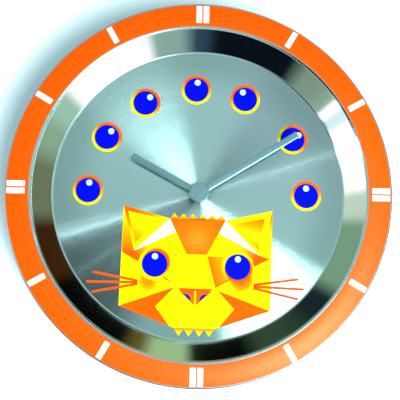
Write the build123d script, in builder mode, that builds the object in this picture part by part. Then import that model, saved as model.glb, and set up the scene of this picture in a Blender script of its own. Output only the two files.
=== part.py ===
"""Wall clock with a spun steel dish, a cat's-face dial and a quartz movement.

Frame: the origin is where the hands' axis meets the wall, +Z points to 12 o'clock,
+X to 3 o'clock and +Y into the wall, so the dial faces -Y. Heights are distances
from the wall towards the viewer, in millimetres.
"""
from build123d import *
import math
import os

os.makedirs("parts", exist_ok=True)

# ---------------------------------------------------------------- driving dimensions

# dish and printed face
rim_radius = 150.0
band_inner_radius = 131.4
band_outer_radius = 148.5
floor_radius = 115.0
dish_depth = 20.0
steel = 0.8
lip_depth = 4.5
film = 0.15
mark_radius = 140.9
mark_length = 14.0
mark_width = 4.5
mark_pair_offset = 2.8
mark_corner = 0.5
mark_film = 0.1

# quartz movement
case_size = 56.0
case_height = 16.0
case_wall = 1.2
case_corner = 3.0
partition_z = -11.2
gear_plate_low = 8.0
gear_plate_thickness = 1.0
gasket_thickness = 1.0

# arbors and tubes
running_gap = 0.05
pivot_radius = 0.4
shaft_radius = 1.8
rear_arbor_radius = 0.95
pipe_radius = 2.55
tube_radius = 4.0
setting_arbor_radius = 1.2

# hands
minute_hand_length = 91.0
hour_hand_length = 60.5
hand_width = 5.3
hand_edge = 0.62
hand_thickness = 0.85
hand_bevel = 1.0
minute_hand_angle = 57.9
hour_hand_angle = -61.9
minute_hand_height = 26.9
hour_hand_height = 24.5
cap_radius = 7.75
cap_thickness = 1.5

# gear teeth, as multiples of the module
pressure_angle = math.radians(20)
wheel_addendum = 0.48
wheel_dedendum = 1.15
pinion_addendum = 0.9
pinion_dedendum = 0.75
tooth_thinning = 0.1
web_margin = 0.5

# battery, AA size
battery_radius = 7.15
battery_body = (-24.8, 24.2)
battery_nub_end = 25.7
battery_z = -19.3
battery_height = 7.6

# ---------------------------------------------------------------- derived heights

floor_back = case_height + gasket_thickness
floor_front = floor_back + steel
rim_front = floor_front + dish_depth
cover_inner = case_wall
front_inner = case_height - case_wall
gear_plate_high = gear_plate_low + gear_plate_thickness
inner_half = case_size / 2 - case_wall
half = case_size / 2

# ---------------------------------------------------------------- gear train heights

# (low, high) of each wheel, pinion and arbor above the wall
arbor_span = (1.8, 7.8)
pivot_low = 0.7
pivot_high = gear_plate_high - 0.2
rotor_pinion_span = (2.6, 4.6)
magnet_span = (4.6, 6.6)
intermediate_wheel_span = (3.8, 4.4)
intermediate_pinion_span = (2.4, 3.8)
seconds_wheel_span = (2.6, 3.2)
seconds_pinion_span = (5.2, 7.4)
third_wheel_span = (6.2, 6.8)
third_pinion_span = (4.2, 6.2)
centre_wheel_span = (4.6, 5.2)
centre_hub_span = (4.4, 5.6)
clutch_spring_span = (5.64, 5.88)
clutch_shoulder_span = (5.9, 6.1)
cannon_pinion_span = (10.2, 12.4)
motion_wheel_span = (10.6, 11.6)
motion_pinion_span = (11.6, 14.3)
hour_wheel_span = (13.2, 14.2)

# ---------------------------------------------------------------- gear train layout

train_module = 0.25
third_module = 0.28
motion_distance = 11.0
motion_bearing, third_bearing, seconds_bearing = -8, 50, 150
cannon_teeth, motion_teeth = 12, 36
motion_pinion_teeth, hour_teeth = 10, 40
cannon_module = 2 * motion_distance / (cannon_teeth + motion_teeth)
hour_module = 2 * motion_distance / (motion_pinion_teeth + hour_teeth)
rotor_teeth, intermediate_teeth = 12, 60
intermediate_pinion_teeth, seconds_teeth = 10, 60
seconds_pinion_teeth, third_teeth = 8, 60
third_pinion_teeth, centre_teeth = 8, 64


def spacing(module, pinion_teeth, wheel_teeth):
    """Centre distance of a meshing pair."""
    return module * (pinion_teeth + wheel_teeth) / 2


def step(place, distance, degrees):
    """The point at a distance from place, in a direction measured from +X."""
    turn = math.radians(degrees)
    return (place[0] + distance * math.cos(turn), place[1] + distance * math.sin(turn))


def bearing(place, other):
    """Direction from one point to another, in radians from +X."""
    return math.atan2(other[1] - place[1], other[0] - place[0])


def upper_crossing(left, left_radius, right, right_radius):
    """The upper point at left_radius from left and at right_radius from right."""
    apart = math.dist(left, right)
    along = (left_radius**2 - right_radius**2 + apart**2) / (2 * apart)
    lift = math.sqrt(left_radius**2 - along**2)
    turn = bearing(left, right)
    foot = (left[0] + along * math.cos(turn), left[1] + along * math.sin(turn))
    return (foot[0] - lift * math.sin(turn), foot[1] + lift * math.cos(turn))


centre = (0.0, 0.0)
motion = step(centre, motion_distance, motion_bearing)
third = step(centre, spacing(third_module, third_pinion_teeth, centre_teeth), third_bearing)
seconds = step(third, spacing(third_module, seconds_pinion_teeth, third_teeth), seconds_bearing)
rotor = (-18.0, 10.5)
intermediate = upper_crossing(
    rotor,
    spacing(train_module, rotor_teeth, intermediate_teeth),
    seconds,
    spacing(train_module, intermediate_pinion_teeth, seconds_teeth),
)

# ---------------------------------------------------------------- shared shapes


def finish(builder, name):
    """Label a finished piece and write it out."""
    builder.part.label = name
    export_step(builder.part, f"parts/{name}.step")


def level(height):
    """Plane parallel to the wall at a height, with its normal towards the viewer."""
    return Plane.XZ.offset(height)


def disc(place, radius, low, high, mode=Mode.ADD):
    """Add or cut a round of the given radius between two heights."""
    with BuildSketch(level(low)) as face:
        with Locations(place):
            Circle(radius)
    extrude(face.sketch, amount=high - low, mode=mode)


def slab(x_span, z_span, low, high, mode=Mode.ADD, corner=0.0):
    """Add or cut a rectangular slab between two heights."""
    width, depth = x_span[1] - x_span[0], z_span[1] - z_span[0]
    with BuildSketch(level(low)) as face:
        with Locations((sum(x_span) / 2, sum(z_span) / 2)):
            if corner:
                RectangleRounded(width, depth, corner)
            else:
                Rectangle(width, depth)
    extrude(face.sketch, amount=high - low, mode=mode)


def gear_outline(place, teeth, module, addendum, dedendum, first_tooth):
    """Corner points of an involute gear; first_tooth is the bearing of one tooth."""
    pitch = teeth * module / 2
    base = pitch * math.cos(pressure_angle)
    root = pitch - dedendum * module
    tip = pitch + addendum * module
    involute = math.tan(pressure_angle) - pressure_angle
    half_pitch_tooth = math.pi / (2 * teeth) - tooth_thinning * module / (2 * pitch)

    def half_tooth(radius):
        slope = math.acos(min(1.0, base / max(radius, base)))
        return half_pitch_tooth + involute - (math.tan(slope) - slope)

    flank = [r for r in (root, base, pitch, tip) if r in (pitch, tip) or r >= root]
    points = []
    for tooth in range(teeth):
        middle = first_tooth + 2 * math.pi * tooth / teeth
        sides = [(r, middle - half_tooth(r)) for r in flank]
        sides += [(r, middle + half_tooth(r)) for r in reversed(flank)]
        for radius, turn in sides:
            points.append(
                (place[0] + radius * math.cos(turn), place[1] + radius * math.sin(turn))
            )
    return points


def toothed(points, low, high):
    """Add a toothed round between two heights."""
    with BuildSketch(level(low)) as face:
        with BuildLine():
            Polyline(*points, close=True)
        make_face()
    extrude(face.sketch, amount=high - low)


def wheel(place, teeth, module, mate, low, high):
    """Large gear of a pair: one of its tooth gaps faces the mating pinion."""
    first = bearing(place, mate) + math.pi / teeth
    outline = gear_outline(place, teeth, module, wheel_addendum, wheel_dedendum, first)
    toothed(outline, low, high)


def pinion(place, teeth, module, mate, low, high):
    """Small gear of a pair: one of its teeth faces the mating wheel."""
    first = bearing(place, mate)
    outline = gear_outline(place, teeth, module, pinion_addendum, pinion_dedendum, first)
    toothed(outline, low, high)


def lighten(place, count, hub, rim, low, high):
    """Cut round lightening holes between a wheel's hub and rim."""
    middle, radius = (hub + rim) / 2, (rim - hub) / 2 - web_margin
    for turn in range(count):
        disc(step(place, middle, 360 / count * turn + 15), radius, low, high, Mode.SUBTRACT)


def arbor(place, body_radius):
    """Add an arbor with a pivot at each end."""
    disc(place, body_radius, *arbor_span)
    disc(place, pivot_radius, pivot_low, arbor_span[0])
    disc(place, pivot_radius, arbor_span[1], pivot_high)


# ---------------------------------------------------------------- dish

# section plane: local x is the radius and local y the height above the wall
section = Plane(origin=(0, 0, 0), x_dir=(1, 0, 0), z_dir=(0, 0, -1))
cone_foot = floor_radius + 1.0
cone_top = band_inner_radius - 1.6
foot_fillet, top_fillet, rim_fillet = 2.0, 3.0, 1.4

with BuildPart() as dial_dish:
    with BuildSketch(section):
        with BuildLine():
            front = FilletPolyline(
                (tube_radius + running_gap, floor_front),
                (cone_foot, floor_front),
                (cone_top, rim_front),
                (rim_radius, rim_front),
                (rim_radius, rim_front - lip_depth),
                radius=[foot_fillet, top_fillet, rim_fillet],
            )
            offset(front, amount=steel, side=Side.RIGHT)
        make_face()
    revolve(axis=Axis.Y)
finish(dial_dish, "dial_dish")

with BuildPart() as rim_band:
    with BuildSketch(level(rim_front)):
        Circle(band_outer_radius)
        Circle(band_inner_radius, mode=Mode.SUBTRACT)
    extrude(amount=film)
finish(rim_band, "rim_band")

with BuildPart() as hour_marks:
    with BuildSketch(level(rim_front + film)):
        for hour in range(12):
            offsets = (-mark_pair_offset, mark_pair_offset) if hour % 3 == 0 else (0.0,)
            with PolarLocations(0, 1, start_angle=90 - 30 * hour):
                with Locations(*[(mark_radius, side) for side in offsets]):
                    RectangleRounded(mark_length, mark_width, mark_corner)
    extrude(amount=mark_film)
finish(hour_marks, "hour_marks")

# ---------------------------------------------------------------- printed dial

# The face is laid out about its own centre line and printed turned a little clockwise.
art_tilt = -1.1

# right half of the outline, from the middle of the forehead to the middle of the chin
half_face = [
    (0.0, -20.4),
    (3.9, -15.8),
    (7.6, -20.2),
    (11.2, -15.8),
    (15.1, -19.6),
    (18.7, -15.7),
    (22.0, -20.2),
    (59.1, -11.0),
    (59.4, -90.1),
    (16.0, -105.5),
    (11.9, -111.5),
    (8.0, -105.9),
    (4.1, -111.6),
    (0.0, -105.8),
]
whisker_root = (45.6, -71.4)
whisker_tips = [(80.0, -64.6), (84.6, -72.2), (80.2, -80.0)]
whisker_width = 1.5

# eye discs around the dial: clockwise angle from 12 o'clock, and radius
eye_places = [
    (-89.1, 87.9),
    (-59.1, 86.6),
    (-31.2, 85.5),
    (-2.3, 85.0),
    (24.7, 86.0),
    (58.3, 87.7),
    (89.7, 85.6),
]
eye_radius = 12.2

tilt = math.radians(art_tilt)
art_plane = Plane(
    origin=(0, -floor_front, 0), x_dir=(math.cos(tilt), 0, math.sin(tilt)), z_dir=(0, -1, 0)
)
with BuildPart() as cat_face:
    with BuildSketch(art_plane):
        with BuildLine():
            outline = Polyline(*half_face)
            mirror(outline, about=Plane.YZ)
        make_face()
        for side in (1, -1):
            for tip in whisker_tips:
                root = (side * whisker_root[0], whisker_root[1])
                end = (side * tip[0], tip[1])
                middle = ((root[0] + end[0]) / 2, (root[1] + end[1]) / 2)
                with Locations(Location(middle, math.degrees(bearing(root, end)))):
                    Rectangle(math.dist(root, end), whisker_width)
    extrude(amount=film)
finish(cat_face, "cat_face")

with BuildPart() as dial_eyes:
    with BuildSketch(level(floor_front)):
        for angle, radius in eye_places:
            with Locations(step(centre, radius, 90 - angle)):
                Circle(eye_radius)
    extrude(amount=film)
finish(dial_eyes, "dial_eyes")

# ---------------------------------------------------------------- hands


def hand(length, angle, height, hub_radius, bore):
    """Add a baton hand with bevelled edges that points at a clockwise angle from 12 o'clock."""
    turn = math.radians(90 - angle)
    along = (math.cos(turn), 0, math.sin(turn))
    tail = hand_width / 2
    crown = hand_thickness - hand_edge
    slope = math.degrees(math.atan2(hand_bevel, crown))
    for low, rise, taper in ((height, hand_edge, 0), (height + hand_edge, crown, slope)):
        with BuildSketch(Plane(origin=(0, -low, 0), x_dir=along, z_dir=(0, -1, 0))) as bar:
            with Locations(((length - tail) / 2, 0)):
                Rectangle(length + tail, hand_width)
        extrude(bar.sketch, amount=rise, taper=taper)
    disc(centre, hub_radius, height, height + hand_thickness)
    disc(centre, bore, height, height + hand_thickness, Mode.SUBTRACT)


with BuildPart() as hour_hand:
    hand(hour_hand_length, hour_hand_angle, hour_hand_height, 5.5, pipe_radius)
finish(hour_hand, "hour_hand")

with BuildPart() as minute_hand:
    hand(minute_hand_length, minute_hand_angle, minute_hand_height, 5.0, shaft_radius)
finish(minute_hand, "minute_hand")

cap_low = minute_hand_height + hand_thickness
shaft_end = cap_low + 0.8
with BuildPart() as hand_cap:
    disc(centre, cap_radius, cap_low, cap_low + cap_thickness)
    fillet(hand_cap.edges().filter_by(GeomType.CIRCLE).sort_by(Axis.Y)[0], 0.6)
    disc(centre, shaft_radius, cap_low, shaft_end, Mode.SUBTRACT)
finish(hand_cap, "hand_cap")

# ---------------------------------------------------------------- dial fastening

tube_flange = 5.0
tube_end = floor_front + 4.6
gasket_radius = 15.0
washer_radius = 7.0
washer_thickness = 0.5
nut_corner_radius = 6.35
nut_height = 2.0

with BuildPart() as threaded_tube:
    disc(centre, tube_flange, front_inner, case_height)
    disc(centre, tube_radius, case_height, tube_end)
    disc(centre, pipe_radius + running_gap, front_inner, tube_end, Mode.SUBTRACT)
finish(threaded_tube, "threaded_tube")

with BuildPart() as dial_gasket:
    disc(centre, gasket_radius, case_height, floor_back)
    disc(centre, tube_radius + running_gap, case_height, floor_back, Mode.SUBTRACT)
finish(dial_gasket, "dial_gasket")

nut_low = floor_front + washer_thickness
with BuildPart() as dial_washer:
    disc(centre, washer_radius, floor_front, nut_low)
    disc(centre, tube_radius + running_gap, floor_front, nut_low, Mode.SUBTRACT)
finish(dial_washer, "dial_washer")

with BuildPart() as dial_nut:
    with BuildSketch(level(nut_low)):
        RegularPolygon(nut_corner_radius, 6)
        Circle(tube_radius, mode=Mode.SUBTRACT)
    extrude(amount=nut_height)
finish(dial_nut, "dial_nut")

# ---------------------------------------------------------------- movement case

gear_bay = ((-inner_half, inner_half), (partition_z + case_wall / 2, inner_half))
battery_bay = ((-inner_half, inner_half), (-inner_half, partition_z - case_wall / 2))
bay_floor = front_inner + 0.1
snap_places = (0.0, 16.0)
contact_span = (25.8, 26.2)
hanger_half_width = 9.0
hanger_thickness = 1.2
hanger_low, hanger_high = cover_inner, cover_inner + hanger_thickness
post_places = [(-24.3, -8.1), (24.3, -8.1), (-24.3, 24.3), (24.3, 24.3)]
post_radius = 2.0
saddle_places = (-14.0, 0.0, 14.0)
saddle_half_width = 0.6
saddle_low = 10.0
front_pivot_radius = 0.6

with BuildPart() as movement_case:
    slab((-half, half), (-half, half), 0, case_height, corner=case_corner)
    fillet(movement_case.faces().sort_by(Axis.Y)[0].edges(), 0.8)
    slab(*gear_bay, 0, front_inner, Mode.SUBTRACT)
    slab((-half, half), (battery_bay[1][1], half), 0, cover_inner, Mode.SUBTRACT)
    slab(*battery_bay, 0, bay_floor, Mode.SUBTRACT)
    for place in post_places:
        disc(place, post_radius, gear_plate_high, front_inner)
    # saddle ribs that carry the battery
    for x in saddle_places:
        slab((x - saddle_half_width, x + saddle_half_width), battery_bay[1], saddle_low, bay_floor)
    with BuildSketch(Plane.YZ.offset(-inner_half)):
        with Locations((-battery_height, battery_z)):
            Circle(battery_radius + 0.1)
    extrude(amount=2 * inner_half, mode=Mode.SUBTRACT)
    # finger notch for lifting the battery
    with BuildSketch(Plane.XZ):
        with Locations((0, -half)):
            SlotCenterToCenter(10, 5)
    extrude(amount=7.0, mode=Mode.SUBTRACT)
    # passages for the contact strips, the cover's snaps and the hanger
    for side in (-1, 1):
        strip = sorted((side * (contact_span[0] - 0.1), side * (contact_span[1] + 0.1)))
        slab(strip, (battery_bay[1][1], gear_bay[1][0]), 5.0, 7.4, Mode.SUBTRACT)
        for z in snap_places:
            window = sorted((side * inner_half, side * half))
            slab(window, (z - 2.2, z + 2.2), 3.0, 4.4, Mode.SUBTRACT)
    hanger_slot = (-hanger_half_width, hanger_half_width)
    slab(hanger_slot, (inner_half, half), hanger_low, hanger_high, Mode.SUBTRACT)
    disc(centre, tube_flange, front_inner, case_height, Mode.SUBTRACT)
    disc(motion, front_pivot_radius + running_gap, front_inner, front_inner + 0.8, Mode.SUBTRACT)
finish(movement_case, "movement_case")

well_radius, well_wall = 6.2, 0.8
well_floor_low, well_floor_high = 3.2, 4.2
boss_radius, boss_high = 1.6, 1.6
pivot_hole_low = 0.5
pivot_hole_radius = pivot_radius + 0.04
tongue_thickness = 0.8
barb_reach = 0.7
with BuildPart() as rear_cover:
    slab((-half, half), (battery_bay[1][1], half), 0, cover_inner)
    fillet(rear_cover.edges().filter_by(Axis.Y).group_by(Axis.Z)[-1], case_corner)
    disc(motion, well_radius + well_wall, 0, well_floor_high)
    disc(motion, well_radius, 0, well_floor_low, Mode.SUBTRACT)
    disc(motion, setting_arbor_radius + running_gap, 0, well_floor_high, Mode.SUBTRACT)
    for place in (rotor, intermediate, seconds, third, centre):
        disc(place, boss_radius, cover_inner, boss_high)
        disc(place, pivot_hole_radius, pivot_hole_low, boss_high, Mode.SUBTRACT)
    for side in (-1, 1):
        outer = inner_half - running_gap
        tongue = sorted((side * (outer - tongue_thickness), side * outer))
        barb = sorted((side * outer, side * (inner_half + barb_reach)))
        for z in snap_places:
            slab(tongue, (z - 2, z + 2), cover_inner, 4.8)
            slab(barb, (z - 2, z + 2), 3.2, 4.2)
    # three shallow grip slots
    with BuildSketch(Plane.XZ):
        with Locations(*[(-20.0 + 4 * k, 22.0) for k in range(3)]):
            SlotCenterToCenter(5, 1.4, rotation=90)
    extrude(amount=0.5, mode=Mode.SUBTRACT)
finish(rear_cover, "rear_cover")

with BuildPart() as gear_plate:
    slab(
        (-inner_half + 0.1, inner_half - 0.1),
        (gear_bay[1][0] + 0.1, inner_half - 0.1),
        gear_plate_low,
        gear_plate_high,
    )
    for place in (rotor, intermediate, seconds, third):
        disc(place, pivot_hole_radius, gear_plate_low, gear_plate_high, Mode.SUBTRACT)
    disc(centre, rear_arbor_radius + running_gap, gear_plate_low, gear_plate_high, Mode.SUBTRACT)
    disc(motion, setting_arbor_radius + running_gap, gear_plate_low, gear_plate_high, Mode.SUBTRACT)
finish(gear_plate, "gear_plate")

hanger_foot = 23.0
hanger_shoulder = 32.0
hanger_top = 40.0
hanger_tip_half_width = 5.0
hanger_hole_z = 34.0
hanger_hole_radius = 3.5
with BuildPart() as hanger:
    with BuildSketch(level(hanger_low)):
        with BuildLine():
            Polyline(
                (-hanger_half_width, hanger_foot),
                (hanger_half_width, hanger_foot),
                (hanger_half_width, hanger_shoulder),
                (hanger_tip_half_width, hanger_top),
                (-hanger_tip_half_width, hanger_top),
                (-hanger_half_width, hanger_shoulder),
                close=True,
            )
        make_face()
        fillet(vertices().group_by(Axis.Z)[-1], 2.5)
        with Locations((0, hanger_hole_z)):
            Circle(hanger_hole_radius, mode=Mode.SUBTRACT)
    extrude(amount=hanger_high - hanger_low)
finish(hanger, "hanger")

# ---------------------------------------------------------------- motion work

clutch_shoulder_radius = 1.4
clutch_spring_radius = 2.4
with BuildPart() as minute_shaft:
    disc(centre, pivot_radius, pivot_low, arbor_span[0])
    disc(centre, rear_arbor_radius, arbor_span[0], cannon_pinion_span[0])
    disc(centre, clutch_shoulder_radius, *clutch_shoulder_span)
    pinion(centre, cannon_teeth, cannon_module, motion, *cannon_pinion_span)
    disc(centre, shaft_radius, cannon_pinion_span[1], shaft_end)
finish(minute_shaft, "minute_shaft")

with BuildPart() as clutch_spring:
    disc(centre, clutch_spring_radius, *clutch_spring_span)
    disc(centre, rear_arbor_radius, *clutch_spring_span, Mode.SUBTRACT)
finish(clutch_spring, "clutch_spring")

setting_arbor_end = 0.8
with BuildPart() as motion_wheel:
    wheel(motion, motion_teeth, cannon_module, centre, *motion_wheel_span)
    lighten(motion, 6, 2.4, 7.4, *motion_wheel_span)
    pinion(motion, motion_pinion_teeth, hour_module, centre, *motion_pinion_span)
    disc(motion, setting_arbor_radius, setting_arbor_end, motion_wheel_span[0])
    disc(motion, front_pivot_radius, motion_pinion_span[1], front_inner + 0.6)
finish(motion_wheel, "motion_wheel")

pipe_span = (hour_wheel_span[0], hour_hand_height + hand_thickness + 0.4)
with BuildPart() as hour_wheel:
    wheel(centre, hour_teeth, hour_module, motion, *hour_wheel_span)
    lighten(centre, 6, 2.9, 7.9, *hour_wheel_span)
    disc(centre, pipe_radius, *pipe_span)
    disc(centre, shaft_radius + running_gap, *pipe_span, Mode.SUBTRACT)
finish(hour_wheel, "hour_wheel")

knob_radius = 5.5
knob_span = (0.3, 3.0)
knob_notches = 18
notch_radius = 0.6
knob_groove = (7.2, 1.0)
knob_groove_depth = 0.45
with BuildPart() as setting_knob:
    disc(motion, knob_radius, *knob_span)
    for notch in range(knob_notches):
        place = step(motion, knob_radius + notch_radius / 2, 360 / knob_notches * notch)
        disc(place, notch_radius, *knob_span, Mode.SUBTRACT)
    disc(motion, setting_arbor_radius, setting_arbor_end, knob_span[1], Mode.SUBTRACT)
    with BuildSketch(level(knob_span[0])):
        with Locations(motion):
            Rectangle(*knob_groove)
    extrude(amount=knob_groove_depth, mode=Mode.SUBTRACT)
finish(setting_knob, "setting_knob")

# ---------------------------------------------------------------- running train

rotor_arbor_radius, wheel_arbor_radius = 0.6, 0.8
magnet_radius = 2.9

with BuildPart() as rotor_pinion:
    arbor(rotor, rotor_arbor_radius)
    pinion(rotor, rotor_teeth, train_module, intermediate, *rotor_pinion_span)
finish(rotor_pinion, "rotor_pinion")

with BuildPart() as rotor_magnet:
    disc(rotor, magnet_radius, *magnet_span)
    disc(rotor, rotor_arbor_radius, *magnet_span, Mode.SUBTRACT)
finish(rotor_magnet, "rotor_magnet")

with BuildPart() as intermediate_wheel:
    arbor(intermediate, wheel_arbor_radius)
    wheel(intermediate, intermediate_teeth, train_module, rotor, *intermediate_wheel_span)
    lighten(intermediate, 5, 1.6, 7.0, *intermediate_wheel_span)
    pinion(
        intermediate, intermediate_pinion_teeth, train_module, seconds, *intermediate_pinion_span
    )
finish(intermediate_wheel, "intermediate_wheel")

with BuildPart() as seconds_wheel:
    arbor(seconds, wheel_arbor_radius)
    wheel(seconds, seconds_teeth, train_module, intermediate, *seconds_wheel_span)
    lighten(seconds, 5, 1.4, 6.9, *seconds_wheel_span)
    pinion(seconds, seconds_pinion_teeth, third_module, third, *seconds_pinion_span)
finish(seconds_wheel, "seconds_wheel")

with BuildPart() as third_wheel:
    arbor(third, wheel_arbor_radius)
    wheel(third, third_teeth, third_module, seconds, *third_wheel_span)
    lighten(third, 5, 1.6, 7.8, *third_wheel_span)
    pinion(third, third_pinion_teeth, third_module, centre, *third_pinion_span)
finish(third_wheel, "third_wheel")

centre_hub_radius = 2.0
with BuildPart() as centre_wheel:
    wheel(centre, centre_teeth, third_module, third, *centre_wheel_span)
    lighten(centre, 6, 2.3, 8.4, *centre_wheel_span)
    disc(centre, centre_hub_radius, *centre_hub_span)
    disc(centre, rear_arbor_radius + 0.02, *centre_hub_span, Mode.SUBTRACT)
finish(centre_wheel, "centre_wheel")

# ---------------------------------------------------------------- stepping motor

stator_span = (5.0, 5.8)
stator_ring_radius, stator_bore_radius = 5.0, 3.2
stator_foot_z = (-10.2, -7.2)
stator_head_z = (6.0, 11.5)
stator_left, stator_right = -24.5, -12.5
core_x = (-23.5, -21.1)
core_low, core_high = 4.2, 5.0
coil_x = sum(core_x) / 2
coil_height = (core_low + core_high) / 2
flange_half = 3.0
bobbin_z = (-6.9, 5.7)
flange_thickness = 1.0

with BuildPart() as stator_plate:
    disc(rotor, stator_ring_radius, *stator_span)
    slab((stator_right - 3.0, stator_right), (stator_foot_z[0], rotor[1]), *stator_span)
    slab((stator_left, stator_right), stator_foot_z, *stator_span)
    slab((stator_left, rotor[0] - 1.0), stator_head_z, *stator_span)
    disc(rotor, stator_bore_radius, *stator_span, Mode.SUBTRACT)
finish(stator_plate, "stator_plate")

with BuildPart() as coil_core:
    slab(core_x, (stator_foot_z[0], 7.8), core_low, core_high)
finish(coil_core, "coil_core")

with BuildPart() as coil_bobbin:
    for z in (bobbin_z[0], bobbin_z[1] - flange_thickness):
        slab(
            (coil_x - flange_half, coil_x + flange_half),
            (z, z + flange_thickness),
            coil_height - flange_half,
            coil_height + flange_half,
        )
    slab((coil_x - 1.8, coil_x + 1.8), bobbin_z, coil_height - 1.0, coil_height + 1.0)
    slab(core_x, bobbin_z, core_low, core_high, Mode.SUBTRACT)
finish(coil_bobbin, "coil_bobbin")

with BuildPart() as coil_winding:
    with BuildSketch(Plane.XY.offset(bobbin_z[0] + flange_thickness)):
        with Locations((coil_x, -coil_height)):
            RectangleRounded(5.4, 5.4, 1.8)
            Rectangle(3.6, 2.0, mode=Mode.SUBTRACT)
    extrude(amount=bobbin_z[1] - bobbin_z[0] - 2 * flange_thickness)
finish(coil_winding, "coil_winding")

# ---------------------------------------------------------------- circuit and battery

board_low = 7.2
with BuildPart() as circuit_board:
    slab((-26.3, 26.3), (18.0, 26.0), board_low, gear_plate_low)
finish(circuit_board, "circuit_board")

with BuildPart() as timing_chip:
    disc((-1.0, 22.0), 2.8, board_low - 0.9, board_low)
    fillet(timing_chip.edges().filter_by(GeomType.CIRCLE).sort_by(Axis.Y)[-1], 0.7)
finish(timing_chip, "timing_chip")

crystal_radius = 1.0
with BuildPart() as quartz_crystal:
    with BuildSketch(Plane.YZ.offset(6.0)):
        with Locations((-board_low + crystal_radius, 22.0)):
            Circle(crystal_radius)
    extrude(amount=6.0)
finish(quartz_crystal, "quartz_crystal")

with BuildPart() as positive_contact:
    slab(contact_span, (-24.5, -13.5), 3.0, 12.0)
    slab(contact_span, (-13.5, 20.5), 5.2, board_low)
finish(positive_contact, "positive_contact")

leaf_tip = battery_body[0] - 0.05
with BuildPart() as negative_contact:
    slab((-contact_span[1], -contact_span[0]), (-24.5, -13.5), 3.0, 12.0)
    slab((-contact_span[1], -contact_span[0]), (-13.5, 20.5), 5.2, board_low)
    with BuildSketch(level(4.6)):
        with BuildLine():
            Polyline(
                (-contact_span[0], -24.5),
                (leaf_tip, battery_z - 1.0),
                (leaf_tip, battery_z + 1.0),
                (-contact_span[0], -14.5),
                (-contact_span[0], -15.1),
                (leaf_tip - 0.35, battery_z + 0.6),
                (leaf_tip - 0.35, battery_z - 0.6),
                (-contact_span[0], -23.9),
                close=True,
            )
        make_face()
    extrude(amount=6.0)
finish(negative_contact, "negative_contact")

with BuildPart() as battery:
    with BuildSketch(Plane.YZ.offset(battery_body[0])):
        with Locations((-battery_height, battery_z)):
            Circle(battery_radius)
    extrude(amount=battery_body[1] - battery_body[0])
    fillet(battery.edges().filter_by(GeomType.CIRCLE), 0.5)
    with BuildSketch(Plane.YZ.offset(battery_body[1])):
        with Locations((-battery_height, battery_z)):
            Circle(2.7)
    extrude(amount=battery_nub_end - battery_body[1])
finish(battery, "battery")
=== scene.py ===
"""Wall clock with a brushed steel dish and a printed cat's face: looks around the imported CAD.

Heights are distances from the wall towards the viewer, in millimetres, as in the CAD.
Plan positions are (x, z) seen from the front, with 12 o'clock up.
"""
import math

import bpy
from mathutils import Matrix, Vector


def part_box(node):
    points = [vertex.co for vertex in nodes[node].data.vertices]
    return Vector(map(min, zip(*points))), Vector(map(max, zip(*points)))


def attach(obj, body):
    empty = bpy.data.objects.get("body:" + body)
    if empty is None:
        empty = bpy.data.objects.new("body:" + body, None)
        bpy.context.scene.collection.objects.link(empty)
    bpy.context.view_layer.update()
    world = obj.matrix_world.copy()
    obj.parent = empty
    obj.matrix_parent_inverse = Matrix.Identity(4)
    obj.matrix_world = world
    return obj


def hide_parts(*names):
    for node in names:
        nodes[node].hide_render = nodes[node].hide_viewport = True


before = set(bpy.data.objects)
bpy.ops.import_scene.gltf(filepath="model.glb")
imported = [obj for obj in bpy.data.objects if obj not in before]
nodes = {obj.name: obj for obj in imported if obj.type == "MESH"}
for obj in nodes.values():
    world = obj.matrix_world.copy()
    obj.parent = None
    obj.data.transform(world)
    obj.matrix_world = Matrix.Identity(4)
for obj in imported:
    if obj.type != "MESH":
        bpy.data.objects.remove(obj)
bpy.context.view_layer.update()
MM = 0.001

# ---------------------------------------------------------------- sizes taken from the frame


def height_span(node):
    """Rear and front heights of a CAD node, in millimetres."""
    low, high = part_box(node)
    return -high.y / MM, -low.y / MM


def outer_radius(node):
    """Largest reach of a round CAD node about the hands' axis, in millimetres."""
    low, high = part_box(node)
    return (high.x - low.x) / 2 / MM


def inner_radius(node):
    """Smallest radius of any point of a CAD node, in millimetres."""
    return min(math.hypot(v.co.x, v.co.z) for v in nodes[node].data.vertices) / MM


DISH_BACK, RIM_FRONT = height_span("dial_dish")
FLOOR_FRONT = height_span("cat_face")[0]
STEEL = FLOOR_FRONT - DISH_BACK
RIM_RADIUS = outer_radius("dial_dish")
HOLE_RADIUS = inner_radius("dial_dish")
BAND_INNER = inner_radius("rim_band")
BAND_OUTER = outer_radius("rim_band")
BAND_FRONT = height_span("rim_band")[1]
FILM_FRONT = height_span("cat_face")[1]

# the dish's section, as in the CAD
CONE_FOOT = 116.0
CONE_TOP = BAND_INNER - 1.6
LIP_DEPTH = 4.5
FOOT_FILLET, TOP_FILLET, RIM_FILLET = 2.0, 3.0, 1.4

# ---------------------------------------------------------------- mesh helpers


def new_object(name, vertices, faces, materials, smooth_angle=None):
    """Make a mesh object from vertices in millimetres (x, height, z)."""
    mesh = bpy.data.meshes.new(name)
    mesh.from_pydata([(x * MM, -h * MM, z * MM) for x, h, z in vertices], [], faces)
    mesh.validate()
    mesh.update()
    piece = bpy.data.objects.new(name, mesh)
    bpy.context.scene.collection.objects.link(piece)
    for material in materials:
        mesh.materials.append(material)
    if smooth_angle:
        mesh.shade_smooth()
        mesh.set_sharp_from_angle(angle=math.radians(smooth_angle))
    return piece


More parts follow.
